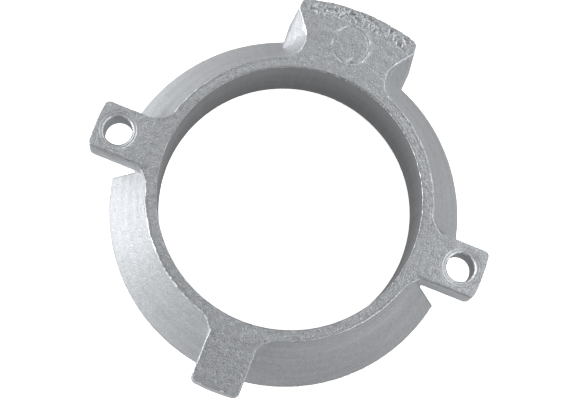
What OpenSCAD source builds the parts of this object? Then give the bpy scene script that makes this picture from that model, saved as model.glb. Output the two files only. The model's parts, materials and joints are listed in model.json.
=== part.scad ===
// Cast aluminium toilet flange: a single casting with a bore, a flared skirt, two bolt ears,
// a plain lug and a broad tab.
// Frame: the origin is on the pipe's axis in the seating plane, +Z points up to the front face,
// the bolt ears lie along X, the broad tab along +Y and the plain lug along -Y.

/* [Pipe bore] */
// Diameter of the bore that the soil pipe passes through
bore_d = 110; // [106:0.5:112]
// Height from the seating plane to the front face
height = 36; // [34:0.5:40]
// Width of the flat front face around the bore
face_w = 4.5; // [4:0.25:6]
// Radius of the rounded edge where the bore opens in the front face
bore_edge_r = 0.7; // [0.5:0.1:2]

/* [Skirt] */
// Diameter of the skirt in the seating plane
skirt_d = 153; // [150:0.5:156]
// Thickness of the skirt, measured level
skirt_wall = 4.4; // [3.6:0.1:5.2]
// Thickness of the ribs in the hollow under the skirt
rib_t = 3; // [2:0.5:4]

/* [Arms] */
// Thickness of the ears and the lug
arm_t = 13.5; // [12:0.5:15]
// Distance between the two closet bolts
bolt_spacing = 152.4; // [151:0.1:154]
// Distance from the pipe's axis to the line through both bolts, towards the lug
bolt_offset = 1; // [0:0.1:1.4]
// Diameter of the bolt holes
bolt_hole_d = 11.8; // [10:0.1:12]
// Diameter of the shallow machined ring around each bolt hole
spotface_d = 17.2; // [16:0.1:18]
// Width of the ears in the front face
ear_w = 20.6; // [20:0.2:22]
// Distance from the pipe's axis to the curved ends of the ears
ear_reach = 86; // [85:0.5:88]
// Angle on either side of each ear's centre line at which the skirt starts again
notch_angle = 11; // [10:0.5:14]
// Width of the plain lug in the front face
lug_w = 20.2; // [18:0.2:24]
// Distance from the pipe's axis to the curved end of the plain lug
lug_reach = 84.8; // [82:0.2:87]

/* [Tab] */
// Distance from the pipe's axis to the curved end of the tab
tab_reach = 85.5; // [84:0.5:87]
// Width of the tab's end in the front face
tab_w = 52.2; // [50:0.2:55]
// Width of the tab's neck in the front face
neck_w = 36.6; // [34:0.2:39]
// Radius of the hollow in each side of the neck
scoop_r = 10; // [9:0.25:11]

/* [Hidden] */

$fn = 96;
hull_fn = 32;
over = 1;

bore_r = bore_d / 2;
face_r = bore_r + face_w;
skirt_r = skirt_d / 2;
skirt_slope = (skirt_r - face_r) / height;

// Hollow under the skirt
core_foot_r = skirt_r - skirt_wall;
core_tip_w = 1.5;
core_z = (core_foot_r - face_r - core_tip_w) / skirt_slope;
end_wall = 4;
rib_angles = [-79, -57, -36, 38];

// Ears and lug, whose sides and ends lean out towards the seating plane
arm_z = height - arm_t;
arm_lean = 0.6;
arm_corner_r = 2.4;
root_r = 14;
root_x = 63.5;
root_bite = 0.1;
notch_r = face_r + 3.3;
spotface_depth = 0.3;
ring_d = 14.4;
ring_depth = 0.6;
hole_chamfer = 0.6;
lug_rib_t = 8;

// Tab, whose sides lean out towards the seating plane
tab_lean = 2.8;
tab_corner_r = 3.5;
tab_root_x = 24;
tab_wall = 4;
tab_cell_w = 16;
tip_x = tab_w / 2 - tab_corner_r;
tip_y = sqrt(pow(tab_reach - tab_corner_r, 2) - tip_x * tip_x);
scoop_x = neck_w / 2 + scoop_r;
scoop_y = sqrt(pow(face_r + scoop_r, 2) - scoop_x * scoop_x);
scoop_z = 12;
scoop_foot_r = 0.4;
shoulder_angle = 54;
shoulder_run = 18;

// Copies its children to the other side of the casting
module both_sides() {
    children();
    mirror([1, 0, 0])
        children();
}

// Section of the bore, with the rounded edge at the front face
module bore_section() {
    translate([0, -over])
        square([bore_r, height + 2 * over]);
    difference() {
        translate([0, height - bore_edge_r])
            square([bore_r + bore_edge_r, bore_edge_r + over]);
        translate([bore_r + bore_edge_r, height - bore_edge_r])
            circle(r = bore_edge_r);
    }
}

// Solid cone that the skirt and the bore wall are cut from
module skirt_blank() {
    cylinder(h = height, r1 = skirt_r, r2 = face_r);
}

// Sector under the right-hand ear, grown on both sides by a margin
module ear_sector(margin) {
    reach = skirt_r + ear_w;
    inner_y = margin / cos(notch_angle);
    outer_y = inner_y + reach * tan(notch_angle);
    polygon([[0, -inner_y], [reach, -outer_y], [reach, outer_y], [0, inner_y]]);
}

// Opening in the skirt under the right-hand ear, where the closet bolt and its nut go
module bolt_notch() {
    translate([0, 0, -over])
        linear_extrude(height = arm_z + over)
            difference() {
                ear_sector(0);
                circle(r = notch_r);
            }
}

// Everything that stays solid in the hollow on the right-hand side: ribs and end walls
module core_walls() {
    translate([0, 0, -2 * over])
        linear_extrude(height = height) {
            ear_sector(end_wall);
            translate([0, face_r / 2])
                square([tab_wall + tab_cell_w + rib_t / 2, skirt_r]);
            for (angle = rib_angles)
                rotate(angle)
                    translate([0, -rib_t / 2])
                        square([skirt_r + over, rib_t]);
        }
}

// Hollow under the skirt, open to the seating plane
module skirt_core() {
    difference() {
        rotate_extrude()
            polygon([
                [face_r, -over],
                [core_foot_r + over * skirt_slope, -over],
                [face_r + core_tip_w, core_z],
                [face_r, core_z]
            ]);
        both_sides()
            core_walls();
    }
}

// Pocket under the right-hand half of the tab
module tab_cell() {
    intersection() {
        translate([rib_t / 2, 0, -over])
            cube([tab_cell_w, tab_reach, arm_z + over]);
        difference() {
            translate([0, 0, -2 * over])
                cylinder(h = height, r = tab_reach - tab_wall);
            translate([0, 0, -3 * over])
                cylinder(h = height + 2 * over, r = face_r);
        }
    }
}

// Web in the corner between the face ring and an arm whose side lies at side_y: its hollow side
// runs into the face ring's outline and meets the arm's side at root_x
module root_web(side_y) {
    centre_reach = face_r + root_r - root_bite;
    corner_reach = norm([root_x, side_y]);
    span = pow(centre_reach, 2) + pow(corner_reach, 2) - root_r * root_r;
    turn = atan2(side_y, root_x) + acos(span / (2 * centre_reach * corner_reach));
    centre = centre_reach * [cos(turn), sin(turn)];
    inner = (face_r - over) * [cos(turn), sin(turn)];
    difference() {
        translate([0, 0, arm_z])
            linear_extrude(height = arm_t)
                polygon([[root_x + over, side_y - over], centre, inner, [inner[0], side_y - over]]);
        translate([centre[0], centre[1], arm_z])
            cylinder(h = arm_t, r1 = root_r - arm_lean, r2 = root_r);
    }
}

// Cone as high as an arm is thick, for the arm's corners
module arm_post() {
    translate([0, 0, arm_z])
        cylinder(h = arm_t, r1 = arm_corner_r + arm_lean, r2 = arm_corner_r, $fn = hull_fn);
}

// Arm along +X with rounded corners, an end that is curved about the pipe's axis and webs at its root
module arm(width, reach) {
    corner_y = width / 2 - arm_corner_r;
    hull()
        for (step = [-1:0.5:1]) {
            y = step * corner_y;
            translate([bore_r + arm_corner_r + over, y, 0])
                arm_post();
            translate([sqrt(pow(reach - arm_corner_r, 2) - y * y), y, 0])
                arm_post();
        }
    root_web(width / 2);
    mirror([0, 1, 0])
        root_web(width / 2);
}

// Right-hand bolt ear
module ear() {
    translate([0, -bolt_offset, 0])
        arm(ear_w, ear_reach);
}

// Bolt hole of the right-hand ear, with its countersink and two machined rings
module bolt_hole() {
    hole_r = bolt_hole_d / 2;
    chamfer_z = height - ring_depth - hole_chamfer;
    translate([bolt_spacing / 2, -bolt_offset, 0]) {
        translate([0, 0, arm_z - over])
            cylinder(h = arm_t + 2 * over, r = hole_r);
        translate([0, 0, chamfer_z])
            cylinder(h = hole_chamfer, r1 = hole_r, r2 = hole_r + hole_chamfer);
        translate([0, 0, height - ring_depth])
            cylinder(h = ring_depth + over, r = ring_d / 2);
        translate([0, 0, height - spotface_depth])
            cylinder(h = spotface_depth + over, r = spotface_d / 2);
    }
}

// Plain lug, held up by a rib on the skirt
module lug() {
    rotate(-90) {
        arm(lug_w, lug_reach);
        translate([0, lug_rib_t / 2, 0])
            rotate([90, 0, 0])
                linear_extrude(height = lug_rib_t)
                    polygon([
                        [face_r, 0],
                        [skirt_r, 0],
                        [lug_reach - arm_corner_r, arm_z],
                        [lug_reach - arm_corner_r, arm_z + over],
                        [face_r, arm_z + over]
                    ]);
    }
}

// Cone that stands on the seating plane and is foot_r wide there
module post(foot_r, top_r) {
    cylinder(h = height, r1 = foot_r, r2 = top_r, $fn = hull_fn);
}

// Tab without the hollows beside its neck
module tab_blank() {
    hull() {
        both_sides() {
            translate([tip_x, tip_y, 0])
                post(tab_corner_r + tab_lean, tab_corner_r);
            translate([tab_root_x - over, bore_r, 0])
                post(over + tab_lean, over);
        }
        intersection() {
            cylinder(h = height, r1 = tab_reach + tab_lean, r2 = tab_reach, $fn = 4 * hull_fn);
            translate([-tip_x, 0, 0])
                cube([2 * tip_x, tab_reach + 2 * tab_lean, height]);
        }
    }
}

// Hollow beside the right-hand side of the neck, open to the side and to the tab's shoulder. It is
// nearly as steep as the skirt, so that it runs into the skirt almost without an edge.
module scoop() {
    hull()
        for (shift = [
            [0, 0],
            [shoulder_run, 0],
            shoulder_run * [cos(shoulder_angle), sin(shoulder_angle)]
        ])
            translate([scoop_x + shift[0], scoop_y + shift[1], scoop_z])
                cylinder(h = height - scoop_z, r1 = scoop_foot_r, r2 = scoop_r, $fn = 2 * hull_fn);
}

// Broad tab
module tab() {
    difference() {
        tab_blank();
        both_sides()
            scoop();
    }
}

// The whole casting
module flange_casting() {
    color("silver")
        difference() {
            union() {
                difference() {
                    skirt_blank();
                    both_sides()
                        bolt_notch();
                }
                both_sides()
                    ear();
                lug();
                tab();
            }
            rotate_extrude()
                bore_section();
            skirt_core();
            both_sides() {
                tab_cell();
                bolt_hole();
            }
        }
}

flange_casting();
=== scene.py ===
"""Looks of the cast toilet flange: cast surface, material, floor, lights and camera.

Scene positions are metres in the frame of the CAD part: the origin is on the bore's axis in the
seating plane, +Z points to the front face, +Y to the broad tab and X through the bolt ears. Sizes
of the casting and of its surface detail are millimetres.
"""
import json
import math

import bpy
import numpy as np
from mathutils import Matrix, Vector


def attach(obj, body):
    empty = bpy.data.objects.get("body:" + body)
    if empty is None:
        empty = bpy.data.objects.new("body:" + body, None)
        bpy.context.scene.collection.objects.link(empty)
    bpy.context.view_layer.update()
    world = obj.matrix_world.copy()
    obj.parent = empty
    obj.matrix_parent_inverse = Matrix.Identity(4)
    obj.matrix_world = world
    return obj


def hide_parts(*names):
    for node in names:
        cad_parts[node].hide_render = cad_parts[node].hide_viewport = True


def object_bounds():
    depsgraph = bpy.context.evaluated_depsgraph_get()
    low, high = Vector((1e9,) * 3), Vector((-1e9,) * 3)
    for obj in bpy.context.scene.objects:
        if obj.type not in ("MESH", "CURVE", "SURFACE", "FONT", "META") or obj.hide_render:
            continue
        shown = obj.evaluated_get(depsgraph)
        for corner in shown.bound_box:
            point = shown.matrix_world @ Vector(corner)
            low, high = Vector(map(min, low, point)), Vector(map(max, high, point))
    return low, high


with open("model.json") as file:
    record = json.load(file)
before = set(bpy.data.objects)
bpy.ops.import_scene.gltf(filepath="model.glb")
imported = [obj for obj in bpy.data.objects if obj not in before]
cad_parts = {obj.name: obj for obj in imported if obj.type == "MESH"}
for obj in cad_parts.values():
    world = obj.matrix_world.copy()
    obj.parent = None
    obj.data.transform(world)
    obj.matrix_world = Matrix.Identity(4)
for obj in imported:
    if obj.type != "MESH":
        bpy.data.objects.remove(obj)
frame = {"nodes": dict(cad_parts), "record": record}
cad_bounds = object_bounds()
mounts = {mount["name"]: mount for mount in frame["record"]["mounts"]}

MM = 0.001

# The camera looks down the bore, tipped towards the plain lug's side and turned on its own axis.
VIEW_TILT = math.radians(10.82)
VIEW_ROLL = math.radians(21.8)
VIEW_DISTANCE = 615.7 * MM
VIEW_OFFSET = (2.32 * MM, 4.83 * MM)
LENS = 87.34
SENSOR_WIDTH = 36

# Bore, face ring and skirt
FACE_Z = mounts["front_face"]["pos_m"][2] / MM
BORE_R = mounts["pipe_bore"]["dims"]["r_mm"]
FACE_R = BORE_R + 4.5
NOTCH_ANGLE = math.radians(11)

# Bolt ears, with a chamfered hole in a dished ring
HOLE_X = mounts["closet_bolts"]["dims"]["spacing_x_mm"] / 2
HOLE_Y = mounts["closet_bolts"]["pos_m"][1] / MM
HOLE_R = mounts["closet_bolts"]["dims"]["hole_r_mm"]
CHAMFER_R = HOLE_R + 0.6
SPOTFACE_R = HOLE_R + 2.5
SPOTFACE_DEPTH = 0.5
RING_PITCH = 1.1
RING_HEIGHT = 0.06

# Where the ears leave the casting, and their side wall towards the lug
EAR_ROOT_X = 60
EAR_WALL_Y = HOLE_Y - 10.3

# Hollow web in the corner between the face ring and the left-hand ear, on the tab's side
WEB_CENTRE = (-69.8, 21.8)
WEB_R = 14

# Where the plain lug and the tab leave the casting, and their curved ends, from the bore's axis
LUG_ROOT = 64
LUG_REACH = 84.8
TAB_ROOT = 60
TAB_REACH = 85.5

# The front face lies this far below the CAD's face, so that its flash and burrs stay inside the box.
FRONT_DROP = 0.25

# Waviness and pits of the cast surfaces
WAVE_HEIGHT = 0.04
RIPPLE_HEIGHT = 0.02
CAST_PIT_DEPTH = 0.1

# Flash along the front face's rims: how far it stands out and varies, and its rise as a share of that
FLASH_WIDTH = 0.12
FLASH_VARIATION = 0.2
FLASH_RISE = 0.6

# Front face: cast grain, small pits, scars near the tab's end and the round mark on the tab
GRAIN_HEIGHT = 0.035
PIT_DEPTH = 0.08
SCAR_DEPTH = 0.4
SCAR_HALF_WIDTH = 24
MARK_HEIGHT = 0.24
MARK_CENTRE = (0, 70)
MARK_R = 8.5

# Short raised scratches and burrs on the front face, each from one end to the other
SCRATCH_HEIGHT = 0.4
SCRATCHES = [
    ((0.8, 63), (2.3, 64.8)),
    ((-26.9, 57.6), (-26.1, 58.4)),
    ((3.3, -84.4), (4.1, -84.7)),
]

PAPER_COLOUR = (0.9, 0.9, 0.9, 1)
WHITE = (1, 1, 1, 1)
METAL_COLOUR = (0.598, 0.616, 0.639)

# Brightness of areas, spots and thin lines, against the metal's colour
FRONT_TINT = 0.86
LUG_TINT = 0.96
EAR_TINT = 1.08
# Painted shade in the bolt holes' chamfers and walls
HOLE_SHADE_TINT = 0.72
# Painted highlight on raised flash and burrs, and painted shade in sunk pits and scars
BURR_HIGHLIGHT_TINT = 1.35
PIT_SHADE_TINT = 0.75
# Painted shade on the rims, on the sides turned away from the light
SHADED_RIM_TINT = 0.78
EDGE_LINE_TINT = 0.86
# Painted shade along the skirt's edges at the notches
NOTCH_SHADE_TINT = 0.75

# Painted light and shade that change from left to right
SKIRT_LIGHT_TINTS = (0.97, 1.03)
SKIRT_FOOT_LIGHT_TINTS = (1.08, 1)
# Painted light and shade across the bore: lighter on the left, darker on the right
BORE_SIDE_LIGHT_TINTS = (1.06, 0.94)
# Painted highlight on the rims, from left to right
RIM_HIGHLIGHT_TINTS = (1.05, 1.6)

# Brightness that changes from the back to the front face
# Painted shade in the bore, darkest at the back
BORE_SHADE_TINTS = (0.38, 0.58)
LEFT_EAR_WALL_TINTS = (0.95, 0.68)
RIGHT_EAR_WALL_TINTS = (1.07, 0.72)
# Painted light on the lug's end wall, brighter where it is steep
LUG_END_LIGHT_TINTS = (1.15, 0.93)

# Radius of the circle on which the streaks' pattern measures the way round the flange
STREAK_CIRCLE_R = 6

# Strength of the patterns in the metal's brightness
SKIRT_SPECKLE = 0.8
FRONT_SPECKLE = 1.5
STREAKS = 0.14
CLOUDS = 0.28
TOOL_RINGS = 0.15

# Bump of the fine grain and of the streaks
SKIRT_GRAIN_BUMP = 0.12
FRONT_GRAIN_BUMP = 0.2
STREAK_BUMP = 0.03

# Each soft light's name, its azimuth and elevation in degrees, and its power in watts
LIGHTS = [
    ("key", 201, 8, 4.3),
    ("left_top", 156, 35, 1.5),
    ("left_back", 156, 8, 0.9),
    ("back", 66, 35, 1.4),
    ("right", 21, 35, 1.3),
    ("right_front", 336, 35, 1.9),
    ("front", 246, 8, 0.7),
]
LIGHT_SIZE = 400 * MM
LIGHT_DISTANCE = 700 * MM
FLOOR_REACH = 3000 * MM

# Cells of the casting's first, even mesh, and the number of triangles in its final one
VOXEL = 0.3 * MM
TRIANGLES = 190_000

# Length of a table of random values, and the large odd steps that spread neighbouring cells over it
TABLE_LENGTH = 4096
CELL_STEPS = np.array([73856093, 19349663, 83492791])


def smoothstep(low, high, value):
    """0 below low, 1 above high and smooth in between; low may be above high."""
    t = np.clip((value - low) / (high - low), 0, 1)
    return t * t * (3 - 2 * t)


def lumps(points, size, seed):
    """Smooth random values from -1 to 1 at points, in lumps about as wide as size."""
    table = np.random.default_rng(seed).uniform(-1, 1, TABLE_LENGTH)
    cell = points / size
    base = np.floor(cell).astype(np.int64)
    part = cell - base
    part = part * part * (3 - 2 * part)
    total = np.zeros(len(points))
    for corner in np.ndindex(2, 2, 2):
        weight = np.prod(np.where(corner, part, 1 - part), axis=1)
        total += weight * table[(base + corner) @ CELL_STEPS % TABLE_LENGTH]
    return total


def casting_mesh(node):
    """The CAD node's shape as an even mesh with its sharp edges slightly softened."""
    draft = bpy.data.objects.new("draft", frame["nodes"][node].data.copy())
    bpy.context.scene.collection.objects.link(draft)
    weld = draft.modifiers.new("weld", "WELD")
    weld.merge_threshold = 0.001 * MM
    remesh = draft.modifiers.new("remesh", "REMESH")
    remesh.mode = "VOXEL"
    remesh.voxel_size = VOXEL
    smooth = draft.modifiers.new("smooth", "SMOOTH")
    smooth.factor = 0.5
    smooth.iterations = 3
    graph = bpy.context.evaluated_depsgraph_get()
    mesh = bpy.data.meshes.new_from_object(draft.evaluated_get(graph))
    bpy.data.objects.remove(draft)
    return mesh


def line_distance(points, start, end):
    """Distance of each point from the straight line between start and end, seen from the front."""
    start = np.array(start)
    run = np.array(end) - start
    along = np.clip((points[:, :2] - start) @ run / (run @ run), 0, 1)
    return np.hypot(*(points[:, :2] - start - along[:, None] * run).T)


def ridge(distance, width):
    """1 at distance 0, falling smoothly to 0 within about twice the width."""
    return np.exp(-((distance / width) ** 2))


def machined_z(hole_distance):
    """Z of the dished ring and the chamfer round a bolt hole, with the tool's fine rings."""
    inward = np.clip((SPOTFACE_R - hole_distance) / (SPOTFACE_R - CHAMFER_R), 0, 1)
    chamfer = np.clip(CHAMFER_R - hole_distance, 0, CHAMFER_R - HOLE_R)
    rings = np.cos(2 * math.pi * (hole_distance - SPOTFACE_R) / RING_PITCH)
    return FACE_Z - FRONT_DROP - SPOTFACE_DEPTH * inward - chamfer - RING_HEIGHT * rings


def scar_depth(points):
    """Depth of the scars, less the height of the burrs among them, in a band near the tab's end."""
    x, y = points[:, :2].T
    radius = np.hypot(x, y)
    band = smoothstep(TAB_REACH - 6.5, TAB_REACH - 5.5, radius)
    band *= smoothstep(TAB_REACH - 0.7, TAB_REACH - 1.5, radius)
    band *= (smoothstep(SCAR_HALF_WIDTH, SCAR_HALF_WIDTH - 4, np.abs(x))
             * smoothstep(TAB_ROOT, TAB_ROOT + 5, y))
    band *= smoothstep(-0.9, -0.3, lumps(points, 5, seed=9))
    scars = smoothstep(-0.1, 0.3, lumps(points, 0.9, seed=10))
    burrs = smoothstep(0, 0.4, lumps(points, 1.2, seed=11))
    return SCAR_DEPTH * band * (scars - 0.5 * burrs)


def mark_height(points):
    """Height of the round mark's thin line with a groove inside it, here and there rubbed away."""
    inside = np.hypot(*(points[:, :2] - MARK_CENTRE).T) - MARK_R
    mark = ridge(inside, 0.3) - ridge(inside + 0.8, 0.4)
    mark *= smoothstep(-0.8, 0, lumps(points, 3, seed=5))
    return MARK_HEIGHT * mark


def front_detail(points):
    """Height of the front face's grain, pits, scars and marks."""
    grain = GRAIN_HEIGHT * lumps(points, 0.8, seed=3) + GRAIN_HEIGHT * lumps(points, 1.7, seed=4)
    pits = smoothstep(0.45, 0.75, lumps(points, 1.3, seed=8))
    height = grain - PIT_DEPTH * pits - scar_depth(points) + mark_height(points)
    for start, end in SCRATCHES:
        height += SCRATCH_HEIGHT * ridge(line_distance(points, start, end), 0.3)
    return height


def cast_detail(points, cast, front):
    """Height of the waviness and pits where the surface is cast, and of the front face's detail."""
    height = cast * (WAVE_HEIGHT * lumps(points, 14, seed=1) + RIPPLE_HEIGHT * lumps(points, 4, seed=2))
    height -= cast * (1 - front) * CAST_PIT_DEPTH * smoothstep(0.75, 0.95, lumps(points, 1.2, seed=12))
    chosen = front > 0
    height[chosen] += front[chosen] * front_detail(points[chosen])
    return height


def rim_flash(points, sideways, bore, hole):
    """How far ragged flash stands out from the rims; sideways is the level part of the normals."""
    rim = smoothstep(FACE_Z - 1, FACE_Z - 0.3, points[:, 2]) * smoothstep(0.3, 0.6, sideways)
    ragged = FLASH_WIDTH + FLASH_VARIATION * lumps(points, 0.9, seed=6)
    ragged += FLASH_VARIATION * lumps(points, 2.4, seed=7)
    ear = smoothstep(EAR_ROOT_X + 6, EAR_ROOT_X + 10, np.abs(points[:, 0]))
    return rim * ragged * (1 - hole) * (1 - 0.8 * ear) * np.where(bore > 0, 0.5, 1)


def points_and_normals(mesh):
    """Where the mesh's points lie, in millimetres, and which way the surface faces there."""
    points = np.empty(3 * len(mesh.vertices))
    normals = np.empty(3 * len(mesh.vertices))
    mesh.vertices.foreach_get("co", points)
    mesh.vertex_normals.foreach_get("vector", normals)
    return points.reshape(-1, 3) / MM, normals.reshape(-1, 3)


def add_surface_detail(mesh):
    """Moves the mesh's points to form the cast detail, the flash and the machined rings.

    Returns which points lie on the front face, whose detail is the finest.
    """
    points, normals = points_and_normals(mesh)
    x, y, z = points.T.copy()
    front = smoothstep(0.85, 0.97, normals[:, 2]) * smoothstep(FACE_Z - 1.5, FACE_Z - 1, z)
    bore = smoothstep(BORE_R + 1, BORE_R + 0.5, np.hypot(x, y))
    hole_distance = np.hypot(np.abs(x) - HOLE_X, y - HOLE_Y)
    hole = smoothstep(SPOTFACE_R + 0.6, SPOTFACE_R, hole_distance)

    height = cast_detail(points, (1 - bore) * (1 - hole), front)
    flash = rim_flash(points, np.hypot(normals[:, 0], normals[:, 1]), bore, hole)
    points += normals * height[:, None]
    points[:, :2] += normals[:, :2] * flash[:, None]
    points[:, 2] += smoothstep(FACE_Z - 0.8, FACE_Z, z) * (FLASH_RISE * np.maximum(flash, 0) - FRONT_DROP)

    dished = smoothstep(SPOTFACE_R + 0.4, SPOTFACE_R, hole_distance)
    dished *= smoothstep(FACE_Z - 1.7, FACE_Z - 1.5, z)
    points[:, 2] += dished * (machined_z(hole_distance) - points[:, 2])

    low, high = np.array(cad_bounds) / MM
    points = np.clip(points, low, high)
    mesh.vertices.foreach_set("co", (points * MM).ravel())
    mesh.update()
    return front > 0.5


def simplify(casting, on_front):
    """Brings the mesh down to TRIANGLES, taking fewer away where on_front is true."""
    coarse = casting.vertex_groups.new(name="coarse")
    coarse.add(np.flatnonzero(~on_front).tolist(), 1, "REPLACE")
    coarse.add(np.flatnonzero(on_front).tolist(), 0.5, "REPLACE")
    thin = casting.modifiers.new("thin", "DECIMATE")
    thin.ratio = TRIANGLES / (2 * len(casting.data.vertices))
    thin.vertex_group = coarse.name
    graph = bpy.context.evaluated_depsgraph_get()
    casting.data = bpy.data.meshes.new_from_object(casting.evaluated_get(graph))
    casting.modifiers.clear()


def make_casting(node, material):
    """The visible casting, which stands for the CAD node."""
    mesh = casting_mesh(node)
    on_front = add_surface_detail(mesh)
    casting = bpy.data.objects.new("casting", mesh)
    bpy.context.scene.collection.objects.link(casting)
    simplify(casting, on_front)
    casting.data.materials.clear()
    casting.data.materials.append(material)
    casting.data.polygons.foreach_set("use_smooth", np.ones(len(casting.data.polygons), bool))
    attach(casting, "root")
    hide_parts(node)


class Field:
    """A number, a vector or a colour that varies over a surface: one output of a shader node."""

    def __init__(self, node, output=0):
        self.tree = node.id_data
        self.socket = node.outputs[output]

    def apply(self, operation, *others):
        """The result of a math node with this field as its first input."""
        inputs = dict(enumerate([self, *others]))
        return Field(add_node(self.tree, "ShaderNodeMath", inputs, operation=operation))

    def __abs__(self):
        return self.apply("ABSOLUTE")

    def __add__(self, other):
        return self.apply("ADD", other)

    def __sub__(self, other):
        return self.apply("SUBTRACT", other)

    def __mul__(self, other):
        return self.apply("MULTIPLY", other)

    def __truediv__(self, other):
        return self.apply("DIVIDE", other)


def set_inputs(node, inputs):
    """Sets each named or numbered input to a value, or links it to a field."""
    for name, value in inputs.items():
        if isinstance(value, Field):
            node.id_data.links.new(value.socket, node.inputs[name])
        else:
            node.inputs[name].default_value = value


def add_node(tree, kind, inputs=None, **settings):
    """A shader node with its settings and inputs."""
    node = tree.nodes.new(kind)
    for name, value in settings.items():
        setattr(node, name, value)
    set_inputs(node, inputs or {})
    return node


def vector(x, y, z=0):
    """The vector of the fields x and y and of z, which may be a plain number."""
    return Field(add_node(x.tree, "ShaderNodeCombineXYZ", {0: x, 1: y, 2: z}))


def parts(whole):
    """The X, Y and Z of a vector."""
    node = add_node(whole.tree, "ShaderNodeSeparateXYZ", {0: whole})
    return [Field(node, axis) for axis in "XYZ"]


def length(x, y):
    """Length of the straight line that runs by x and y."""
    return Field(add_node(x.tree, "ShaderNodeVectorMath", {0: vector(x, y)}, operation="LENGTH"), "Value")


def larger(first, second):
    """The larger of two fields, point by point."""
    return first.apply("MAXIMUM", second)


def ramp(value, low, high, start=0, end=1):
    """Value carried from low..high to start..end, held beyond them; low may be above high."""
    inputs = {"Value": value, "From Min": low, "From Max": high, "To Min": start, "To Max": end}
    return Field(add_node(value.tree, "ShaderNodeMapRange", inputs), "Result")


def between(value, low, rise, fall, high):
    """1 from rise to fall and 0 outside low..high."""
    return ramp(value, low, rise) * ramp(value, high, fall)


def where(mask, factor):
    """Factor where the mask is 1, and 1 where it is 0."""
    return ramp(mask, 0, 1, 1, factor)


def mix(mask, value, other):
    """Value where the mask is 0 and other where it is 1."""
    return Field(add_node(mask.tree, "ShaderNodeMix", {0: mask, 2: value, 3: other}))


def noise(place, scale, detail, roughness=0.5):
    """Smooth random values around 0, in lumps about 1 / scale wide."""
    inputs = {"Vector": place, "Scale": scale, "Detail": detail, "Roughness": roughness}
    return Field(add_node(place.tree, "ShaderNodeTexNoise", inputs), "Fac") - 0.5


class Surface:
    """Fields over the casting: where a point is, masks of the areas it may lie in, and noises."""

    def __init__(self, tree):
        place = Field(add_node(tree, "ShaderNodeTexCoord"), "Object")
        normal = Field(add_node(tree, "ShaderNodeNewGeometry"), "Normal")
        self.x, self.y, self.z = [part * (1 / MM) for part in parts(place)]
        self.up = parts(normal)[2]
        self.side = abs(self.x)
        self.radius = length(self.x, self.y)
        self.hole_distance = length(self.side - HOLE_X, self.y - HOLE_Y)
        self.add_areas()
        self.add_noises()

    def add_areas(self):
        """Masks that are 1 inside an area and 0 outside it."""
        high = ramp(self.z, FACE_Z - 1.6, FACE_Z - 1)
        self.front = ramp(self.up, 0.85, 0.95) * high
        self.rim = between(self.up, 0.1, 0.3, 0.75, 0.9) * high
        self.skirt = ramp(self.front, 1, 0) * ramp(self.radius, FACE_R - 1, FACE_R)
        self.bore = ramp(self.radius, BORE_R + 0.7, BORE_R + 0.3)
        self.machined = ramp(self.hole_distance, SPOTFACE_R + 0.2, SPOTFACE_R)
        self.in_hole = ramp(self.hole_distance, CHAMFER_R, CHAMFER_R - 0.3)
        self.ear_wall = between(self.y, EAR_WALL_Y - 2.2, EAR_WALL_Y - 1.2, EAR_WALL_Y + 0.4, EAR_WALL_Y + 1)
        self.ear_wall *= ramp(self.side, EAR_ROOT_X, EAR_ROOT_X + 3)
        self.lug_end = ramp(self.y, 2.8 - LUG_REACH, 0.3 - LUG_REACH)
        self.tab_end = ramp(self.radius, TAB_REACH - 8, TAB_REACH - 6) * ramp(self.y, TAB_ROOT, TAB_ROOT + 6)
        # Sides of the casting turned away from the light, where the rims get painted shade and the burrs no
        # painted highlight
        self.shaded_side = larger(larger(self.sector(162, 38), self.sector(308, 28)), self.ear_wall)

    def add_noises(self):
        """Grain of three sizes, and streaks and clouds that are drawn out round the flange."""
        place = vector(self.x, self.y, self.z)
        turned = [axis / self.radius * STREAK_CIRCLE_R for axis in (self.x, self.y)]
        around = vector(*turned, self.radius - self.z)
        self.coarse = noise(place, scale=0.5, detail=2, roughness=0.6)
        self.fine = noise(place, scale=1.5, detail=0)
        self.finest = noise(place, scale=2.6, detail=1)
        self.streaks = noise(around, scale=0.6, detail=2, roughness=0.6)
        self.clouds = noise(around, scale=0.15, detail=1)

    def sector(self, azimuth, half_angle):
        """Mask of the sector of half_angle on either side of azimuth, in degrees."""
        a = math.radians(azimuth)
        along = (self.x * math.cos(a) + self.y * math.sin(a)) / self.radius
        edge = math.cos(math.radians(half_angle))
        return ramp(along, edge - 0.05, edge)


def bump_height(surface):
    """Fine grain, much weaker on the bore's wall and the machined rings, and streaks."""
    grain = surface.fine * ramp(surface.front, 0, 1, SKIRT_GRAIN_BUMP, FRONT_GRAIN_BUMP)
    grain *= where(larger(surface.bore, surface.machined), 0.2)
    return grain + surface.streaks * STREAK_BUMP


def grain_tint(surface):
    """Speckle, which is strongest in the tab's scarred band, with streaks, clouds and tool rings."""
    speckle = surface.coarse * 0.4 + surface.finest
    speckle *= ramp(surface.front, 0, 1, SKIRT_SPECKLE, FRONT_SPECKLE)
    speckle *= where(surface.tab_end, 1.6) * where(surface.bore, 0.2)
    phase = (surface.hole_distance - SPOTFACE_R) * (2 * math.pi / RING_PITCH)
    rings = phase.apply("COSINE") * surface.machined
    return speckle + 1 + surface.streaks * STREAKS + surface.clouds * CLOUDS - rings * TOOL_RINGS


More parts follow.
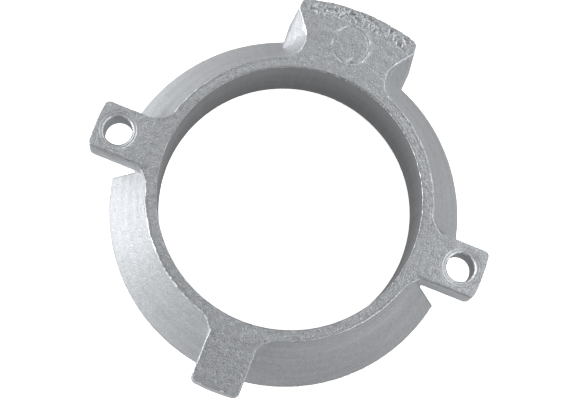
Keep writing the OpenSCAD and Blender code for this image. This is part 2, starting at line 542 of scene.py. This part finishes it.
def area_tint(surface):
    """Brightness of the front face, the lug and the ears, with painted light on the lug's end wall and the
    skirt, and painted shade in the bore and the bolt holes.
    """
    # Painted shade in the bolt holes
    tint = where(surface.front, FRONT_TINT) * where(surface.in_hole, HOLE_SHADE_TINT)
    tint *= ramp(surface.y, -LUG_ROOT, -LUG_ROOT - 16, 1, LUG_TINT)
    # Painted light on the lug's end wall
    tint *= where(surface.lug_end, ramp(surface.up, 0.5, 0.9, *LUG_END_LIGHT_TINTS))
    tint *= ramp(surface.side, EAR_ROOT_X - 5, EAR_ROOT_X + 20, 1, EAR_TINT)
    # Painted light on the skirt: a little more on the right by the face ring, and more on the left at the
    # foot
    skirt_light = [ramp(surface.x, -40, 40, *tints) for tints in (SKIRT_LIGHT_TINTS, SKIRT_FOOT_LIGHT_TINTS)]
    tint *= where(surface.skirt, ramp(surface.radius, FACE_R + 4.5, FACE_R + 14.5, *skirt_light))
    # Painted shade in the bore, darkest at the back and darker on the right
    bore_shade = ramp(surface.z, 5, 30, *BORE_SHADE_TINTS) * ramp(surface.x, -BORE_R, BORE_R, *BORE_SIDE_LIGHT_TINTS)
    return tint * where(surface.bore, bore_shade)


def with_rim_light(surface, tint):
    """The tint with painted highlights in ragged spots along the rims, brightest on the right, and painted
    shade on those spots on the sides turned away from the light.
    """
    rim_spots = surface.rim * ramp(surface.coarse + surface.fine, -0.1, 0.1)
    bright = ramp(surface.x, -20, 20, *RIM_HIGHLIGHT_TINTS)
    return mix(rim_spots, tint, mix(surface.shaded_side, bright, SHADED_RIM_TINT))


def relief_tint(surface):
    """Painted highlight on flash and burrs above the front face, except on the shaded sides, and painted
    shade in pits and scars below it.
    """
    face_z = FACE_Z - FRONT_DROP
    raised = ramp(surface.z, face_z + 0.12, face_z + 0.22) * ramp(surface.shaded_side, 1, 0)
    sunk = ramp(surface.z, face_z - 0.12, face_z - 0.25) * surface.front * ramp(surface.machined, 1, 0)
    return where(raised, BURR_HIGHLIGHT_TINT) * where(sunk, PIT_SHADE_TINT)


def edge_line_tint(surface):
    """Thin dark lines in the front face, beside the face ring's outer edge and the left-hand web."""
    wavy_radius = surface.radius + surface.coarse * 1.2
    diagonal = abs(surface.y) * surface.side / (surface.radius * surface.radius)
    ring_line = between(wavy_radius, FACE_R - 1.2, FACE_R - 0.8, FACE_R - 0.2, FACE_R + 0.1)
    ring_line *= ramp(diagonal, 0.33, 0.36)
    web_distance = length(surface.x - WEB_CENTRE[0], surface.y - WEB_CENTRE[1]) + surface.coarse
    web_line = between(web_distance, WEB_R - 0.2, WEB_R + 0.1, WEB_R + 1, WEB_R + 1.3)
    web_line *= ramp(surface.side, EAR_ROOT_X + 4.5, EAR_ROOT_X + 3.5)
    return where(larger(ring_line, web_line) * surface.front, EDGE_LINE_TINT)


def notch_line_tint(surface):
    """Painted shade: a dark line along the skirt's edges at the notches under the ears."""
    from_notch = abs(surface.y) - surface.side * math.tan(NOTCH_ANGLE)
    line = between(from_notch, -0.5, 0, 0.4, 1)
    line *= ramp(surface.radius, FACE_R + 1, FACE_R + 2) * ramp(surface.z, FACE_Z - 3, FACE_Z - 4)
    return where(line, NOTCH_SHADE_TINT)


def ear_wall_tint(surface):
    """Ear walls towards the lug: the left one darkens towards the front, the right one at its edge."""
    ragged_z = surface.z + surface.coarse * 3
    left = ramp(ragged_z, FACE_Z - 12, FACE_Z - 1, *LEFT_EAR_WALL_TINTS)
    right = ramp(ragged_z, FACE_Z - 1.4, FACE_Z - 0.8, *RIGHT_EAR_WALL_TINTS)
    return where(surface.ear_wall, mix(ramp(surface.x, -1, 1), left, right))


def cast_metal():
    """Dull cast aluminium: grainy front face, smoother skirt, painted shade in the bore, and machined rings.
    """
    material = bpy.data.materials.new("cast_metal")
    material.use_nodes = True
    tree = material.node_tree
    surface = Surface(tree)
    tint = with_rim_light(surface, grain_tint(surface) * area_tint(surface))
    tint *= relief_tint(surface) * edge_line_tint(surface)
    tint *= notch_line_tint(surface) * ear_wall_tint(surface)
    bump = add_node(tree, "ShaderNodeBump", {"Height": bump_height(surface), "Distance": MM, "Strength": 1})
    set_inputs(tree.nodes["Principled BSDF"], {
        "Base Color": vector(*[tint * part for part in METAL_COLOUR]),
        "Metallic": 0.9,
        "Roughness": ramp(surface.front, 0, 1, 0.5, 0.6) + surface.fine * 0.3,
        "Normal": Field(bump),
    })
    return material


def make_camera():
    """Camera that looks down the bore."""
    turn = Matrix.Rotation(VIEW_TILT, 4, "X") @ Matrix.Rotation(VIEW_ROLL, 4, "Z")
    data = bpy.data.cameras.new("camera")
    data.lens = LENS
    data.sensor_width = SENSOR_WIDTH
    camera = bpy.data.objects.new("camera", data)
    camera.matrix_world = turn @ Matrix.Translation((*VIEW_OFFSET, VIEW_DISTANCE))
    bpy.context.scene.collection.objects.link(camera)
    bpy.context.scene.camera = camera


def make_light(name, azimuth, elevation, power):
    """A square soft light at an azimuth counted from +X and an elevation, in degrees."""
    a = math.radians(azimuth)
    e = math.radians(elevation)
    direction = Vector((math.cos(a) * math.cos(e), math.sin(a) * math.cos(e), math.sin(e)))
    data = bpy.data.lights.new(name, "AREA")
    data.size = LIGHT_SIZE
    data.energy = power
    light = bpy.data.objects.new(name, data)
    light.location = direction * LIGHT_DISTANCE
    light.rotation_euler = direction.to_track_quat("Z", "Y").to_euler()
    bpy.context.scene.collection.objects.link(light)


def make_world(above, below):
    """Soft studio surroundings: brightness overhead, and at the level of the table and below it."""
    world = bpy.data.worlds.new("studio")
    world.use_nodes = True
    direction = Field(add_node(world.node_tree, "ShaderNodeTexCoord"), "Generated")
    set_inputs(world.node_tree.nodes["Background"], {
        "Color": WHITE,
        "Strength": ramp(parts(direction)[2], 0, 0.5, below, above),
    })
    bpy.context.scene.world = world


def floor_paper():
    """White paper that glows, so that it looks evenly white."""
    material = bpy.data.materials.new("floor_paper")
    material.use_nodes = True
    set_inputs(material.node_tree.nodes["Principled BSDF"], {
        "Base Color": PAPER_COLOUR,
        "Roughness": 0.9,
        "Emission Color": WHITE,
        "Emission Strength": 0.9,
    })
    return material


def make_floor(material):
    """Square sheet under the flange, which neither throws light back onto it nor shades it."""
    corners = [(x * FLOOR_REACH, y * FLOOR_REACH, 0) for x, y in ((-1, -1), (1, -1), (1, 1), (-1, 1))]
    mesh = bpy.data.meshes.new("floor")
    mesh.from_pydata(corners, [], [(0, 1, 2, 3)])
    mesh.materials.append(material)
    floor = bpy.data.objects.new("floor", mesh)
    floor.visible_diffuse = False
    floor.visible_glossy = False
    floor.visible_shadow = False
    bpy.context.scene.collection.objects.link(floor)


make_camera()
make_world(above=0.06, below=0.42)
for light in LIGHTS:
    make_light(*light)
make_floor(floor_paper())
make_casting("flange_casting", cast_metal())
bpy.context.scene.view_settings.view_transform = "Standard"
